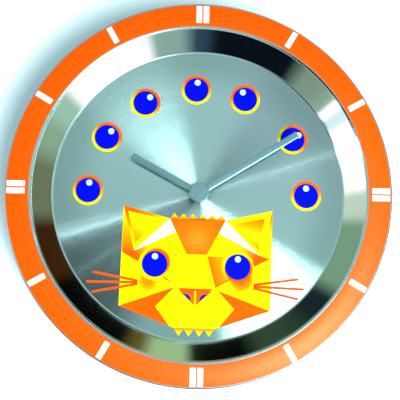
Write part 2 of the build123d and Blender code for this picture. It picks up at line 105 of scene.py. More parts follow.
def lathe(name, section, steps, materials, slots=None, smooth_angle=35):
    """Turn a closed section of (radius, height) points about the hands' axis."""
    count = len(section)
    vertices, faces, face_slots = [], [], []
    for turn in range(steps):
        angle = 2 * math.pi * turn / steps
        for radius, height in section:
            vertices.append((radius * math.sin(angle), height, radius * math.cos(angle)))
    for turn in range(steps):
        here, there = turn * count, (turn + 1) % steps * count
        for k in range(count):
            m = (k + 1) % count
            faces.append((here + k, there + k, there + m, here + m))
            face_slots.append(slots[k] if slots else 0)
    piece = new_object(name, vertices, faces, materials, smooth_angle)
    for polygon, slot in zip(piece.data.polygons, face_slots):
        polygon.material_index = slot
    return piece


def prism(name, outline, low, high, material):
    """Closed flat piece between two heights with a polygon outline of (x, z) points."""
    area = sum(
        a[0] * b[1] - b[0] * a[1] for a, b in zip(outline, outline[1:] + outline[:1])
    )
    if area < 0:
        outline = outline[::-1]
    count = len(outline)
    vertices = [(x, low, z) for x, z in outline] + [(x, high, z) for x, z in outline]
    faces = [tuple(range(count))[::-1], tuple(range(count, 2 * count))]
    for k in range(count):
        m = (k + 1) % count
        faces.append((k, m, count + m, count + k))
    return new_object(name, vertices, faces, [material])


def circle(middle, radius, steps=64):
    """Points of a circle."""
    return [
        (
            middle[0] + radius * math.cos(2 * math.pi * k / steps),
            middle[1] + radius * math.sin(2 * math.pi * k / steps),
        )
        for k in range(steps)
    ]


def arc_between(before, corner, after, radius, steps):
    """Points of a fillet of the given radius at a corner of a section."""
    to_before = Vector((before[0] - corner[0], before[1] - corner[1])).normalized()
    to_after = Vector((after[0] - corner[0], after[1] - corner[1])).normalized()
    half = to_before.angle(to_after) / 2
    middle = Vector(corner) + (to_before + to_after).normalized() * (radius / math.sin(half))
    start = Vector(corner) + to_before * (radius / math.tan(half)) - middle
    sweep = start.angle_signed(Vector(corner) + to_after * (radius / math.tan(half)) - middle)
    points = []
    for k in range(steps + 1):
        turned = start.copy()
        turned.rotate(Matrix.Rotation(-sweep * k / steps, 2))
        points.append(tuple(middle + turned))
    return points


# ---------------------------------------------------------------- node-tree helpers


class Tree:
    """Short way to write a shader tree: each method adds a node and returns an output."""

    def __init__(self, tree):
        self.tree = tree

    def node(self, kind, inputs=(), **settings):
        node = self.tree.nodes.new(kind)
        for key, value in settings.items():
            setattr(node, key, value)
        for key, value in dict(inputs).items():
            self.put(node.inputs[key], value)
        return node

    def put(self, socket, value):
        if isinstance(value, bpy.types.NodeSocket):
            self.tree.links.new(value, socket)
        else:
            socket.default_value = value

    def math(self, operation, a, b=0.0):
        return self.node("ShaderNodeMath", {0: a, 1: b}, operation=operation).outputs[0]

    def vector(self, operation, a, b=(0, 0, 0)):
        node = self.node("ShaderNodeVectorMath", {0: a, 1: b}, operation=operation)
        return node.outputs["Value" if operation in ("LENGTH", "DOT_PRODUCT") else "Vector"]

    def scale(self, vector, factor):
        node = self.node("ShaderNodeVectorMath", {0: vector, "Scale": factor}, operation="SCALE")
        return node.outputs["Vector"]

    def split(self, vector):
        return self.node("ShaderNodeSeparateXYZ", {0: vector}).outputs

    def join(self, x, y, z):
        return self.node("ShaderNodeCombineXYZ", {0: x, 1: y, 2: z}).outputs[0]

    def smooth(self, value, low, high):
        """0 below low, 1 above high, smooth between."""
        node = self.node(
            "ShaderNodeMapRange",
            {"Value": value, "From Min": low, "From Max": high},
            interpolation_type="SMOOTHSTEP",
        )
        return node.outputs[0]

    def span(self, value, low, high):
        """Linear map of low..high to 0..1."""
        node = self.node("ShaderNodeMapRange", {"Value": value, "From Min": low, "From Max": high})
        return node.outputs[0]

    def mix(self, factor, a, b):
        """Colour between a and b; sockets 6, 7 and 2 are the node's colour ones."""
        node = self.node("ShaderNodeMix", data_type="RGBA")
        self.put(node.inputs["Factor"], factor)
        self.put(node.inputs[6], a)
        self.put(node.inputs[7], b)
        return node.outputs[2]

    def ramp(self, value, stops):
        node = self.node("ShaderNodeValToRGB", {0: value})
        ramp = node.color_ramp
        while len(ramp.elements) < len(stops):
            ramp.elements.new(0.5)
        for element, (position, colour) in zip(ramp.elements, stops):
            element.position = position
            element.color = colour
        return node.outputs[0]

    def noise(self, scale, detail=2.0, roughness=0.5, vector=None, dimensions="3D", w=None):
        node = self.node(
            "ShaderNodeTexNoise",
            {"Scale": scale, "Detail": detail, "Roughness": roughness},
            noise_dimensions=dimensions,
        )
        if vector is not None:
            self.put(node.inputs["Vector"], vector)
        if w is not None:
            self.put(node.inputs["W"], w)
        return node.outputs[0]

    def bump(self, height, strength, distance):
        node = self.node(
            "ShaderNodeBump", {"Height": height, "Strength": strength, "Distance": distance}
        )
        return node.outputs[0]

    def place(self):
        """Position on the object, in metres in the clock's frame."""
        return self.node("ShaderNodeTexCoord").outputs["Object"]


def linear(red, green, blue):
    """Shader colour from display values of 0 to 255."""

    def one(value):
        value /= 255
        return value / 12.92 if value <= 0.04045 else ((value + 0.055) / 1.055) ** 2.4

    return (one(red), one(green), one(blue), 1.0)


def grey(value, tint=(1.0, 1.0, 1.0)):
    """Shader colour from a linear brightness and a tint."""
    return (value * tint[0], value * tint[1], value * tint[2], 1.0)


def new_material(name, **sockets):
    """A Principled material, its tree helper and its shader node."""
    material = bpy.data.materials.new(name)
    material.use_nodes = True
    shader = material.node_tree.nodes["Principled BSDF"]
    tree = Tree(material.node_tree)
    for key, value in sockets.items():
        tree.put(shader.inputs[key.replace("_", " ")], value)
    return material, tree, shader


# ---------------------------------------------------------------- metals


def radial_parts(tree):
    """Distance from the hands' axis and the outward direction, both from the position."""
    x, _, z = tree.split(tree.place())
    flat = tree.join(x, 0.0, z)
    radius = tree.vector("LENGTH", flat)
    return radius, tree.node("ShaderNodeVectorMath", {0: flat}, operation="NORMALIZE").outputs[0]


def leaning_normal(tree, outward, slope):
    """Unit normal that leans outwards by a slope from straight out of the dial."""
    raw = tree.vector("ADD", tree.scale(outward, slope), (0, -1.0, 0))
    return tree.node("ShaderNodeVectorMath", {0: raw}, operation="NORMALIZE").outputs[0]


# grooves for each metre of radius, how steeply they lean, and the gloss along them
GROOVE_SCALE = 60000.0
GROOVE_SLOPE = 0.8
FLOOR_ROUGHNESS = 0.145
CENTRE_ROUGHNESS = 0.09
# metres from the hands' axis
CENTRE_FADE = (0.006, 0.080)
# painted shade: the floor's colour darkens between these radii towards the foot of the wall
WALL_SHADE_FADE = (0.075, 0.112)


def brushed_floor():
    """Circular-brushed steel: grooves lean the surface in and out, and stretch its gloss outwards. Its
    colour darkens towards the wall as painted shade.
    """
    material, tree, shader = new_material("steel_floor", Metallic=1.0)
    radius, outward = radial_parts(tree)
    groove = tree.noise(GROOVE_SCALE, detail=1.0, roughness=0.5, dimensions="1D", w=radius)
    slope = tree.math("MULTIPLY", tree.math("SUBTRACT", groove, 0.5), GROOVE_SLOPE)
    tree.put(shader.inputs["Normal"], leaning_normal(tree, outward, slope))
    cloud = tree.noise(9.0, detail=3.0, vector=tree.place())
    bright = tree.mix(cloud, (0.86, 0.90, 0.89, 1), (0.92, 0.95, 0.94, 1))
    # painted shade: the floor's colour darkens towards the foot of the wall
    edge = tree.smooth(radius, *WALL_SHADE_FADE)
    tree.put(shader.inputs["Base Color"], tree.mix(edge, bright, (0.66, 0.68, 0.67, 1)))
    centre = tree.math("SUBTRACT", 1.0, tree.smooth(radius, *CENTRE_FADE))
    rougher = tree.math("MULTIPLY", centre, CENTRE_ROUGHNESS)
    tree.put(shader.inputs["Roughness"], tree.math("ADD", rougher, FLOOR_ROUGHNESS))
    tree.put(shader.inputs["Tangent"], outward)
    shader.inputs["Anisotropic"].default_value = 1.0
    return material


WALL_SLOPE = math.tan(math.radians(44))
SPINNING_SLOPE = 0.08


def polished_wall():
    """Spun wall of the dish: a mirror that leans inwards, with faint spinning lines."""
    material, tree, shader = new_material("steel_wall", Metallic=1.0)
    radius, outward = radial_parts(tree)
    line = tree.noise(900.0, detail=3.0, roughness=0.6, dimensions="1D", w=radius)
    uneven = tree.math("MULTIPLY", tree.math("SUBTRACT", line, 0.5), SPINNING_SLOPE)
    slope = tree.math("ADD", uneven, -WALL_SLOPE)
    tree.put(shader.inputs["Normal"], leaning_normal(tree, outward, slope))
    cloud = tree.noise(14.0, detail=3.0, vector=tree.place())
    tree.put(
        shader.inputs["Base Color"],
        tree.mix(cloud, (0.80, 0.83, 0.82, 1), (0.88, 0.90, 0.89, 1)),
    )
    tree.put(shader.inputs["Roughness"], tree.math("ADD", tree.math("MULTIPLY", line, 0.05), 0.05))
    return material


def steel(name, colour, roughness, grain=900.0, depth=0.00001, stretch=(1, 1, 1)):
    """Plain metal with grain, slight colour clouds and uneven gloss."""
    material, tree, shader = new_material(name, Metallic=1.0)
    stretched = tree.vector("MULTIPLY", tree.place(), stretch)
    cloud = tree.noise(35.0, detail=3.0, vector=tree.place())
    scratch = tree.noise(grain, detail=3.0, vector=stretched)
    dark = tuple(c * 0.86 for c in colour) + (1,)
    light = tuple(min(1.0, c * 1.08) for c in colour) + (1,)
    tree.put(shader.inputs["Base Color"], tree.mix(cloud, dark, light))
    uneven = tree.math("MULTIPLY", tree.math("SUBTRACT", scratch, 0.5), 0.25)
    tree.put(shader.inputs["Roughness"], tree.math("ADD", uneven, roughness))
    tree.put(shader.inputs["Normal"], tree.bump(scratch, 0.35, depth))
    return material


# ---------------------------------------------------------------- plastics and other materials


def moulded(name, colour, roughness, grain=2600.0, depth=0.00004, coat=0.0, specular=0.5):
    """Moulded plastic or rubber with a fine spark-eroded texture."""
    material, tree, shader = new_material(name)
    cloud = tree.noise(40.0, detail=4.0, vector=tree.place())
    texture = tree.noise(grain, detail=2.0, vector=tree.place())
    dark = tuple(c * 0.85 for c in colour) + (1,)
    light = tuple(min(1.0, c * 1.12) for c in colour) + (1,)
    tree.put(shader.inputs["Base Color"], tree.mix(cloud, dark, light))
    uneven = tree.math("MULTIPLY", tree.math("SUBTRACT", cloud, 0.5), 0.15)
    tree.put(shader.inputs["Roughness"], tree.math("ADD", uneven, roughness))
    tree.put(shader.inputs["Normal"], tree.bump(texture, 0.4, depth))
    shader.inputs["Coat Weight"].default_value = coat
    shader.inputs["Specular IOR Level"].default_value = specular
    return material


def winding():
    """Enamelled copper wire in close turns along the bobbin."""
    material, tree, shader = new_material("copper_winding", Metallic=1.0, Roughness=0.28)
    z = tree.split(tree.place())[2]
    turns = tree.math("SINE", tree.math("MULTIPLY", z, 2 * math.pi / 0.00035))
    cloud = tree.noise(300.0, detail=3.0, vector=tree.place())
    tree.put(
        shader.inputs["Base Color"], tree.mix(cloud, (0.50, 0.19, 0.07, 1), (0.80, 0.38, 0.17, 1))
    )
    tree.put(shader.inputs["Normal"], tree.bump(turns, 0.8, 0.00012))
    shader.inputs["Coat Weight"].default_value = 0.6
    return material


def battery_sleeve():
    """Printed sleeve with a copper-coloured end band over a metal can."""
    material, tree, shader = new_material("battery_sleeve", Roughness=0.3)
    x = tree.split(tree.place())[0]
    low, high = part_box("battery")
    along = tree.span(x, low.x, high.x)
    stops = [
        (0.0, (0.62, 0.61, 0.58, 1)),
        (0.02, (0.06, 0.065, 0.075, 1)),
        (0.70, (0.06, 0.065, 0.075, 1)),
        (0.71, (0.72, 0.42, 0.14, 1)),
        (0.955, (0.72, 0.42, 0.14, 1)),
        (0.965, (0.70, 0.69, 0.66, 1)),
    ]
    colour = tree.ramp(along, stops)
    cloud = tree.noise(220.0, detail=3.0, vector=tree.place())
    dust = tree.math("MULTIPLY", cloud, 0.25)
    tree.put(shader.inputs["Base Color"], tree.mix(dust, colour, (0.5, 0.5, 0.5, 1)))
    shader.inputs["Metallic"].default_value = 0.75
    shader.inputs["Coat Weight"].default_value = 0.5
    return material


def circuit_resist():
    """Green resist over copper tracks, which show as a faint raised lattice."""
    material, tree, shader = new_material("circuit_resist", Roughness=0.32)
    x, _, z = tree.split(tree.place())
    rows = tree.math("GREATER_THAN", tree.math("SINE", tree.math("MULTIPLY", z, 3900.0)), 0.55)
    runs = tree.math("GREATER_THAN", tree.math("SINE", tree.math("MULTIPLY", x, 900.0)), 0.9)
    tracks = tree.math("MAXIMUM", rows, runs)
    tree.put(
        shader.inputs["Base Color"], tree.mix(tracks, (0.015, 0.10, 0.05, 1), (0.06, 0.28, 0.12, 1))
    )
    tree.put(shader.inputs["Normal"], tree.bump(tracks, 0.5, 0.00005))
    shader.inputs["Coat Weight"].default_value = 0.4
    return material


# ---------------------------------------------------------------- printing inks

# turn of the printed face against the hour marks
ART_TILT = math.radians(-1.1)


def art(point):
    """Place on the dial of a point of the face's layout, which is printed slightly turned."""
    x, z = point
    return (
        x * math.cos(ART_TILT) - z * math.sin(ART_TILT),
        x * math.sin(ART_TILT) + z * math.cos(ART_TILT),
    )


YELLOW = linear(255, 243, 0)
WHITE = linear(255, 255, 255)
SKY = linear(205, 245, 255)
# thin dark line around the blue discs, in millimetres
RIM_SHADOW = linear(84, 44, 24)
RIM_LINE = 0.35


def ink_finish(tree, shader, colour):
    """Give printed ink a slightly uneven colour and gloss."""
    speck = tree.noise(700.0, detail=2.0, vector=tree.place())
    worn = tree.math("SUBTRACT", 1.0, tree.math("MULTIPLY", speck, 0.06))
    if isinstance(colour, tuple):
        colour = colour[:3]
    tree.put(shader.inputs["Base Color"], tree.scale(colour, worn))
    tree.put(shader.inputs["Roughness"], tree.math("ADD", tree.math("MULTIPLY", speck, 0.1), 0.36))
    shader.inputs["Specular IOR Level"].default_value = 0.05


def ink(name, colour):
    """Ink of one colour."""
    material, tree, shader = new_material(name)
    ink_finish(tree, shader, colour)
    return material


def shaded_ink(name, start, end, stops):
    """Ink whose colour runs through stops from one place on the dial to another."""
    material, tree, shader = new_material(name)
    a, b = Vector(start) * MM, Vector(end) * MM
    run = b - a
    axis = (run.x / run.length_squared, 0, run.y / run.length_squared)
    along = tree.vector("DOT_PRODUCT", tree.place(), axis)
    offset = (a.x * run.x + a.y * run.y) / run.length_squared
    ink_finish(tree, shader, tree.ramp(tree.math("SUBTRACT", along, offset), stops))
    return material


def round_ink(name, middle, radius, stops):
    """Ink whose colour runs through stops from a middle point outwards."""
    material, tree, shader = new_material(name)
    away = tree.vector("SUBTRACT", tree.place(), (middle[0] * MM, 0, middle[1] * MM))
    x, _, z = tree.split(away)
    reach = tree.vector("LENGTH", tree.join(x, 0.0, z))
    ink_finish(tree, shader, tree.ramp(tree.math("DIVIDE", reach, radius * MM), stops))
    return material


# ---------------------------------------------------------------- dish and band


def dish_section():
    """Closed section of the dish, and the material slot of each stretch.

    The slots are 0 floor, 1 wall, 2 rest and 3 fillets.
    """
    corners = [
        (HOLE_RADIUS, FLOOR_FRONT),
        (CONE_FOOT, FLOOR_FRONT),
        (CONE_TOP, RIM_FRONT),
        (RIM_RADIUS, RIM_FRONT),
        (RIM_RADIUS, RIM_FRONT - LIP_DEPTH),
    ]
    floor = [(HOLE_RADIUS + (CONE_FOOT - 3 - HOLE_RADIUS) * k / 24, FLOOR_FRONT) for k in range(25)]
    foot = arc_between(*corners[0:3], FOOT_FILLET, 10)
    top = arc_between(*corners[1:4], TOP_FILLET, 10)
    rim = arc_between(*corners[2:5], RIM_FILLET, 8)
    front = floor + foot + top + rim + [corners[4]]
    kinds = [0] * len(floor) + [3] * (len(foot) - 1) + [1] + [3] * (len(top) - 1)
    kinds += [2] * (len(front) - len(kinds))
    back = []
    for k, point in enumerate(front):
        before = Vector(front[max(k - 1, 0)])
        after = Vector(front[min(k + 1, len(front) - 1)])
        along = (after - before).normalized()
        back.append((point[0] + along.y * STEEL, point[1] - along.x * STEEL))
    back[-1] = (corners[4][0] - STEEL, corners[4][1])
    back[0] = (HOLE_RADIUS, DISH_BACK)
    return front + back[::-1], kinds + [2] * len(back)


def make_dish():
    """Smooth steel dish with its own floor, wall and rim finishes."""
    section, kinds = dish_section()
    rest = steel("steel_rest", (0.60, 0.63, 0.635), 0.32, grain=500.0, stretch=(1, 0.05, 1))
    bead = steel("steel_bead", (0.84, 0.87, 0.86), 0.12, grain=1500.0, depth=0.000002)
    finishes = [brushed_floor(), polished_wall(), rest, bead]
    dish = lathe("spun_dish", section, 360, finishes, kinds)
    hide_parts("dial_dish")
    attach(dish, "clock")


def band_enamel():
    """Glossy orange enamel with faint orange peel."""
    material, tree, shader = new_material("band_enamel")
    peel = tree.noise(330.0, detail=2.0, vector=tree.place())
    cloud = tree.noise(12.0, detail=3.0, vector=tree.place())
    tree.put(shader.inputs["Base Color"], tree.mix(cloud, linear(255, 86, 0), linear(255, 95, 0)))
    tree.put(shader.inputs["Roughness"], tree.math("ADD", tree.math("MULTIPLY", peel, 0.06), 0.30))
    tree.put(shader.inputs["Normal"], tree.bump(peel, 0.2, 0.00002))
    shader.inputs["Specular IOR Level"].default_value = 0.06
    return material


def make_band():
    """Printed orange band with softly rounded edges."""
    edge = BAND_FRONT - RIM_FRONT
    section = [(BAND_INNER, RIM_FRONT)]
    for k in range(5):
        turn = math.radians(90 * k / 4)
        section.append((BAND_INNER + edge * (1 - math.cos(turn)), RIM_FRONT + edge * math.sin(turn)))
    for k in range(5):
        turn = math.radians(90 * k / 4)
        section.append((BAND_OUTER - edge * (1 - math.sin(turn)), RIM_FRONT + edge * math.cos(turn)))
    section.append((BAND_OUTER, RIM_FRONT))
    band = lathe("orange_band", section, 360, [band_enamel()])
    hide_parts("rim_band")
    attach(band, "clock")


# ---------------------------------------------------------------- cat's face

# step from one layer of ink to the next, and how deep each piece reaches down, in millimetres
LAYER = 0.02
BURIED = 0.08


def plain_piece(name, outline, layer, material):
    """Printed piece laid out straight. Each layer of ink stands a little above the one below."""
    high = FILM_FRONT + LAYER * layer
    piece = prism(name, outline, high - BURIED, high, material)
    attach(piece, "clock")
    return piece


def print_piece(name, outline, layer, material):
    """Printed piece of the face, which is turned with the face's layout."""
    return plain_piece(name, [art(p) for p in outline], layer, material)


def mirrored(points):
    """The same points on the other side of the face."""
    return [(-x, z) for x, z in points]


EAR_TIP = (59.1, -11.0)
BROW_TOP = (22.0, -20.2)
BROW_FOOT = (17.1, -30.7)
BROW_TIP = (49.3, -46.8)
FOREHEAD_FOOT = (8.0, -48.0)
JAW = (59.4, -90.1)
CHIN = (16.0, -105.5)
MUZZLE_TOP = (15.7, -73.8)
MUZZLE_SIDE = (30.9, -89.6)
MUZZLE_MIDDLE = (0.0, -88.3)
EYE = (32.7, -56.6)
EYE_RADIUS = 9.8
EYE_GLINT = (32.7, -50.5)
GLINT_RADIUS = 2.45
NOSTRIL = (8.0, -83.4)
NOSTRIL_RADIUS = 4.2
BROW_TEETH = [(0.0, -20.4), (3.9, -15.8), (7.6, -20.2), (11.2, -15.8), (15.1, -19.6), (18.7, -15.7)]
CHIN_TEETH = [(11.9, -111.5), (8.0, -105.9), (4.1, -111.6), (0.0, -105.8)]
WHISKER_ROOT = (45.6, -71.4)
WHISKER_TIPS = [(80.0, -64.6), (84.6, -72.2), (80.2, -80.0)]


def fade(name, start, end, first, last, middle=None):
    """Ink that runs from one colour to another, with an optional colour half way."""
    stops = [(0.0, first), (1.0, last)]
    if middle:
        stops.insert(1, (0.5, middle))
    return shaded_ink(name, art(start), art(end), stops)


def make_face_base():
    """Yellow ground of the face, cut to the outline."""
    right = BROW_TEETH + [BROW_TOP, EAR_TIP, JAW, CHIN] + CHIN_TEETH
    left = mirrored(right[1:-1])[::-1]
    base = print_piece("face_ground", right + left, 0, ink("ink_yellow", YELLOW))
    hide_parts("cat_face")


def make_forehead():
    """Orange forehead with yellow-tipped teeth of fur."""
    panel = [BROW_TOP, FOREHEAD_FOOT] + mirrored([FOREHEAD_FOOT, BROW_TOP])
    glow = round_ink(
        "ink_forehead",
        art((0, -36)),
        24.0,
        [(0.0, linear(255, 150, 36)), (0.45, linear(255, 124, 12)), (1.0, linear(255, 104, 0))],
    )
    print_piece("forehead", panel, 1, glow)
    right = [(0.0, -20.4)] + BROW_TEETH[1:] + [BROW_TOP]
    outline = right + mirrored(right[1:])[::-1]
    teeth = fade("ink_teeth", (0, -20.6), (0, -16.4), linear(255, 118, 0), linear(255, 226, 0))
    print_piece("forehead_fur", outline, 1, teeth)


def make_brows():
    """White triangle above each eye."""
    white = ink("ink_white", WHITE)
    brow = [BROW_TOP, BROW_FOOT, BROW_TIP]
    print_piece("brow_right", brow, 3, white)
    print_piece("brow_left", mirrored(brow), 3, white)


def make_left_ear():
    """Left ear: shaded bands around a yellow triangle."""
    tip, base, foot = (-59.1, -11.0), (-23.6, -20.0), (-49.3, -46.8)
    temple = (-58.8, -48.1)
    inner = [(-55.3, -15.6), (-27.5, -20.9), (-48.8, -40.1)]
    deep = linear(255, 106, 0)
    soft = linear(255, 184, 0)
    print_piece(
        "ear_left_side",
        [tip, temple, foot],
        1,
        fade("ink_ear_side", (-57, -17), (-55, -47), YELLOW, deep, linear(255, 172, 0)),
    )
    print_piece(
        "ear_left_band",
        [tip, inner[0], inner[2], foot],
        2,
        fade("ink_ear_band", (-56, -16), (-51.5, -36), deep, YELLOW, linear(255, 160, 0)),
    )
    print_piece(
        "ear_left_top",
        [tip, base, inner[1], inner[0]],
        2,
        fade("ink_ear_top", (-50, -13), (-27, -20.5), deep, linear(255, 212, 0), linear(255, 140, 0)),
    )
    print_piece(
        "ear_left_inner",
        inner,
        3,
        fade("ink_ear_inner", (-49.5, -40), (-42.5, -27), linear(255, 146, 0), YELLOW, soft),
    )


def make_right_ear():
    """Right ear: yellow bands around a shaded triangle, and a shaded outer edge."""
    inner = [(28.2, -22.9), (53.1, -17.5), (48.8, -42.9)]
    print_piece(
        "ear_right_inner",
        inner,
        2,
        shaded_ink(
            "ink_ear_hollow",
            art((46, -16)),
            art((40, -40)),
            [
                (0.0, linear(255, 118, 0)),
                (0.28, linear(255, 158, 0)),
                (0.62, linear(255, 226, 0)),
                (1.0, linear(255, 150, 0)),
            ],
        ),
    )
    print_piece(
        "ear_right_edge",
        [(59.1, -11.0), (56.6, -21.0), (57.2, -32.0), (59.2, -42.0)],
        1,
        fade("ink_ear_edge", (58.6, -13), (58.4, -36), linear(255, 112, 0), linear(255, 238, 0)),
    )


def soft_spot(name, middle, radius, colour, halfway, layer):
    """Round patch of colour that fades into the yellow ground."""
    stops = [(0.0, colour), (0.3, colour), (0.65, halfway), (1.0, YELLOW)]
    shade = round_ink("ink_" + name, art(middle), radius, stops)
    print_piece(name, circle(middle, radius, 64), layer, shade)


def make_temples():
    """Orange facets between the ears and the eyes."""
    deep, warm = linear(255, 94, 0), linear(255, 150, 0)
    left = [
        (-58.8, -48.1),
        (-49.3, -46.8),
        (-38.0, -41.6),
        (-30.0, -44.0),
        (-33.0, -52.0),
        (-45.3, -55.3),
    ]
    print_piece(
        "temple_left",
        left,
        1,
        shaded_ink(
            "ink_temple_left",
            art((-50, -53)),
            art((-35, -41)),
            [(0.0, deep), (0.2, deep), (0.5, warm), (1.0, YELLOW)],
        ),
    )
    right = [(58.0, -49.4), (49.3, -46.8), (24.0, -34.6), (36.0, -44.6), (44.0, -50.0), (45.3, -56.0)]
    print_piece(
        "temple_right",
        right,
        1,
        shaded_ink(
            "ink_temple_right",
            art((52, -53)),
            art((27, -38)),
            [(0.0, deep), (0.24, deep), (0.42, warm), (1.0, YELLOW)],
        ),
    )


def make_bridge():
    """Shaded panel between the forehead and the right eye, and a fold beside each eye."""
    panel = [(8.3, -49.0), (22.6, -49.0), (24.0, -57.0), (26.0, -66.0), MUZZLE_TOP]
    print_piece(
        "bridge",
        panel,
        1,
        shaded_ink(
            "ink_bridge",
            art((10, -60)),
            art((23, -55)),
            [(0.0, linear(255, 104, 0)), (0.4, linear(255, 132, 0)), (1.0, linear(255, 176, 0))],
        ),
    )
    fold = [(26.4, -65.6), (26.8, -67.2), MUZZLE_TOP]
    print_piece("fold_right", fold, 3, ink("ink_fold", linear(255, 100, 0)))
    fold = [(-26.6, -64.6), (-25.0, -67.8), (-17.2, -71.4)]
    print_piece("fold_left", fold, 3, ink("ink_fold_left", linear(255, 120, 0)))


def make_eyes():
    """Blue eyes with a white glint and a warm rim."""
    blue = round_blue("ink_eye")
    line = ink("ink_eye_line", RIM_SHADOW)
    for side, name in ((-1, "left"), (1, "right")):
        middle = (side * EYE[0], EYE[1])
        outer = circle(middle, EYE_RADIUS + RIM_LINE, 96)
        print_piece("eye_line_" + name, outer, 3.5, line)
        print_piece("eye_" + name, circle(middle, EYE_RADIUS, 96), 4, blue)
        glint = (side * EYE_GLINT[0], EYE_GLINT[1])
        spark = ink("ink_glint_" + name, SKY)
        print_piece("eye_glint_" + name, circle(glint, GLINT_RADIUS, 48), 5, spark)
    soft_spot("cheek_shade_left", (-37.2, -70.0), 9.8, linear(255, 138, 0), linear(255, 182, 0), 1.5)
    soft_spot("cheek_shade_right", (36.0, -66.2), 11.8, linear(255, 108, 0), linear(255, 156, 0), 2.25)
    eye_ring("left", (-EYE[0], EYE[1]), 12.9)
    eye_ring("right", (EYE[0] - 0.3, EYE[1] + 0.6), 12.2)
    eye_shade("left", (-EYE[0] + 1.4, EYE[1] + 1.6), 12.0, 0.82, YELLOW)
    eye_shade("right", (EYE[0] + 0.7, EYE[1] - 1.5), 11.2, 0.9, linear(255, 118, 0))


def eye_ring(side, middle, radius):
    """Plain yellow ring that clears the shading around an eye."""
    print_piece("eye_ring_" + side, circle(middle, radius, 96), 2, ink("ink_ring_" + side, YELLOW))


def eye_shade(side, middle, radius, solid, edge):
    """Orange crescent beside an eye, fading to another colour at its outer edge."""
    orange = linear(255, 96, 0)
    stops = [(0.0, orange), (solid, orange), (1.0, edge)]
    material = round_ink("ink_eye_shade_" + side, art(middle), radius, stops)
    print_piece("eye_shade_" + side, circle(middle, radius, 96), 2.5, material)


def round_blue(name):
    """Deep blue ink."""
    material, tree, shader = new_material(name)
    cloud = tree.noise(160.0, detail=2.0, vector=tree.place())
    tree.put(shader.inputs["Base Color"], tree.mix(cloud, linear(0, 4, 228), linear(0, 11, 246)))
    speck = tree.noise(700.0, detail=2.0, vector=tree.place())
    tree.put(shader.inputs["Roughness"], tree.math("ADD", tree.math("MULTIPLY", speck, 0.1), 0.4))
    shader.inputs["Specular IOR Level"].default_value = 0.06
    return material


def make_muzzle():
    """Nose, nostrils, muzzle and cheeks."""
    deep = linear(255, 100, 0)
    cheek = [JAW, (17.4, -75.6), MUZZLE_SIDE, (19.3, -104.4)]
    shade = fade("ink_cheek_right", (17, -76), (52, -92), linear(255, 92, 0), deep)
    print_piece("cheek_right", cheek, 1, shade)
    cheek = mirrored([JAW, (16.6, -74.1), MUZZLE_SIDE, (19.3, -104.4)])
    shade = fade("ink_cheek_left", (-17, -76), (-52, -92), linear(255, 90, 0), deep)
    print_piece("cheek_left", cheek, 1, shade)
    nose = [(-13.6, -74.6), (13.6, -74.6), (0.0, -88.4)]
    shade = fade("ink_nose", (0, -75), (0, -87), linear(255, 92, 0), linear(255, 116, 0))
    print_piece("nose", nose, 1, shade)
    for side, name in ((-1, "left"), (1, "right")):
        middle = (side * NOSTRIL[0], NOSTRIL[1])
        line = ink("ink_nostril_line_" + name, RIM_SHADOW)
        outer = circle(middle, NOSTRIL_RADIUS + RIM_LINE, 40)
        print_piece("nostril_line_" + name, outer, 1.5, line)
        blue = ink("ink_nostril_" + name, linear(0, 14, 205))
        print_piece("nostril_" + name, circle(middle, NOSTRIL_RADIUS, 40), 2, blue)
    for side, name in ((-1, "left"), (1, "right")):
        edge = [(12.5, -76.7), (1.6, -86.8), (1.2, -86.4), (12.1, -76.3)]
        shade = ink("ink_nose_edge_" + name, linear(150, 60, 0))
        print_piece("nose_edge_" + name, [(side * x, z) for x, z in edge], 2.5, shade)
    line = [(-0.75, -76.4), (0.75, -76.4), (0.75, -88.0), (-0.75, -88.0)]
    print_piece("nose_line", line, 4, ink("ink_nose_line", linear(255, 214, 0)))
    muzzle = [MUZZLE_TOP, MUZZLE_SIDE, CHIN, MUZZLE_MIDDLE]
    print_piece("muzzle_right", muzzle, 3, ink("ink_muzzle_right", YELLOW))
    print_piece("muzzle_left", mirrored(muzzle), 3, ink("ink_muzzle_left", YELLOW))
    chin = [(0.0, -88.3), (16.0, -105.4), (-16.0, -105.4)]
    print_piece("muzzle_chin", chin, 3, fade("ink_chin", (0, -98), (0, -106), YELLOW, linear(255, 236, 0)))
    crease = [(0.0, -88.3), (-15.2, -105.0), (-15.8, -104.6)]
    print_piece("muzzle_crease", crease, 4, ink("ink_crease", linear(220, 160, 0)))
    right = [CHIN] + CHIN_TEETH
    fur = fade("ink_chin_fur", (0, -105.4), (0, -109.0), linear(255, 118, 0), linear(255, 226, 0))
    print_piece("chin_fur", right + mirrored(right[:-1])[::-1], 2, fur)


def make_whiskers():
    """Three round-ended whiskers on each side."""
    for side, name, width in ((-1, "left", 1.9), (1, "right", 2.0)):
        shade = ink("ink_whisker_" + name, linear(255, 88, 8))
        for k, (x, z) in enumerate(WHISKER_TIPS):
            root = Vector((side * WHISKER_ROOT[0], WHISKER_ROOT[1] + (1 - k) * 1.3))
            end = Vector((side * x, z))
            across = (end - root).normalized().orthogonal() * (width / 2)
            turns = [math.radians(a) for a in range(-80, 81, 20)]
            out = (end - root).normalized()
            tip = [end + across * math.sin(t) + out * (width / 2) * math.cos(t) for t in turns]
            outline = [root - across] + tip + [root + across]
            print_piece("whisker_%s_%d" % (name, k + 1), [tuple(p) for p in outline], 4, shade)


# ---------------------------------------------------------------- eye discs around the dial

# name, angle clockwise from 12, distance from the hands, and place of the glint in the eye
DIAL_EYES = [
    ("nine", -89.1, 87.9, (0.8, 6.0)),
    ("ten", -59.1, 86.6, (3.3, 4.8)),
    ("eleven", -31.2, 85.5, (3.6, 4.8)),
    ("twelve", -2.3, 85.0, (0.8, 6.0)),
    ("one", 24.7, 86.0, (-1.8, 5.7)),
    ("two", 58.3, 87.7, (4.9, 3.6)),
    ("three", 89.7, 85.6, (0.0, 6.0)),
]
RIM_DISC_RADIUS = 12.1
IRIS_RADIUS = 9.5


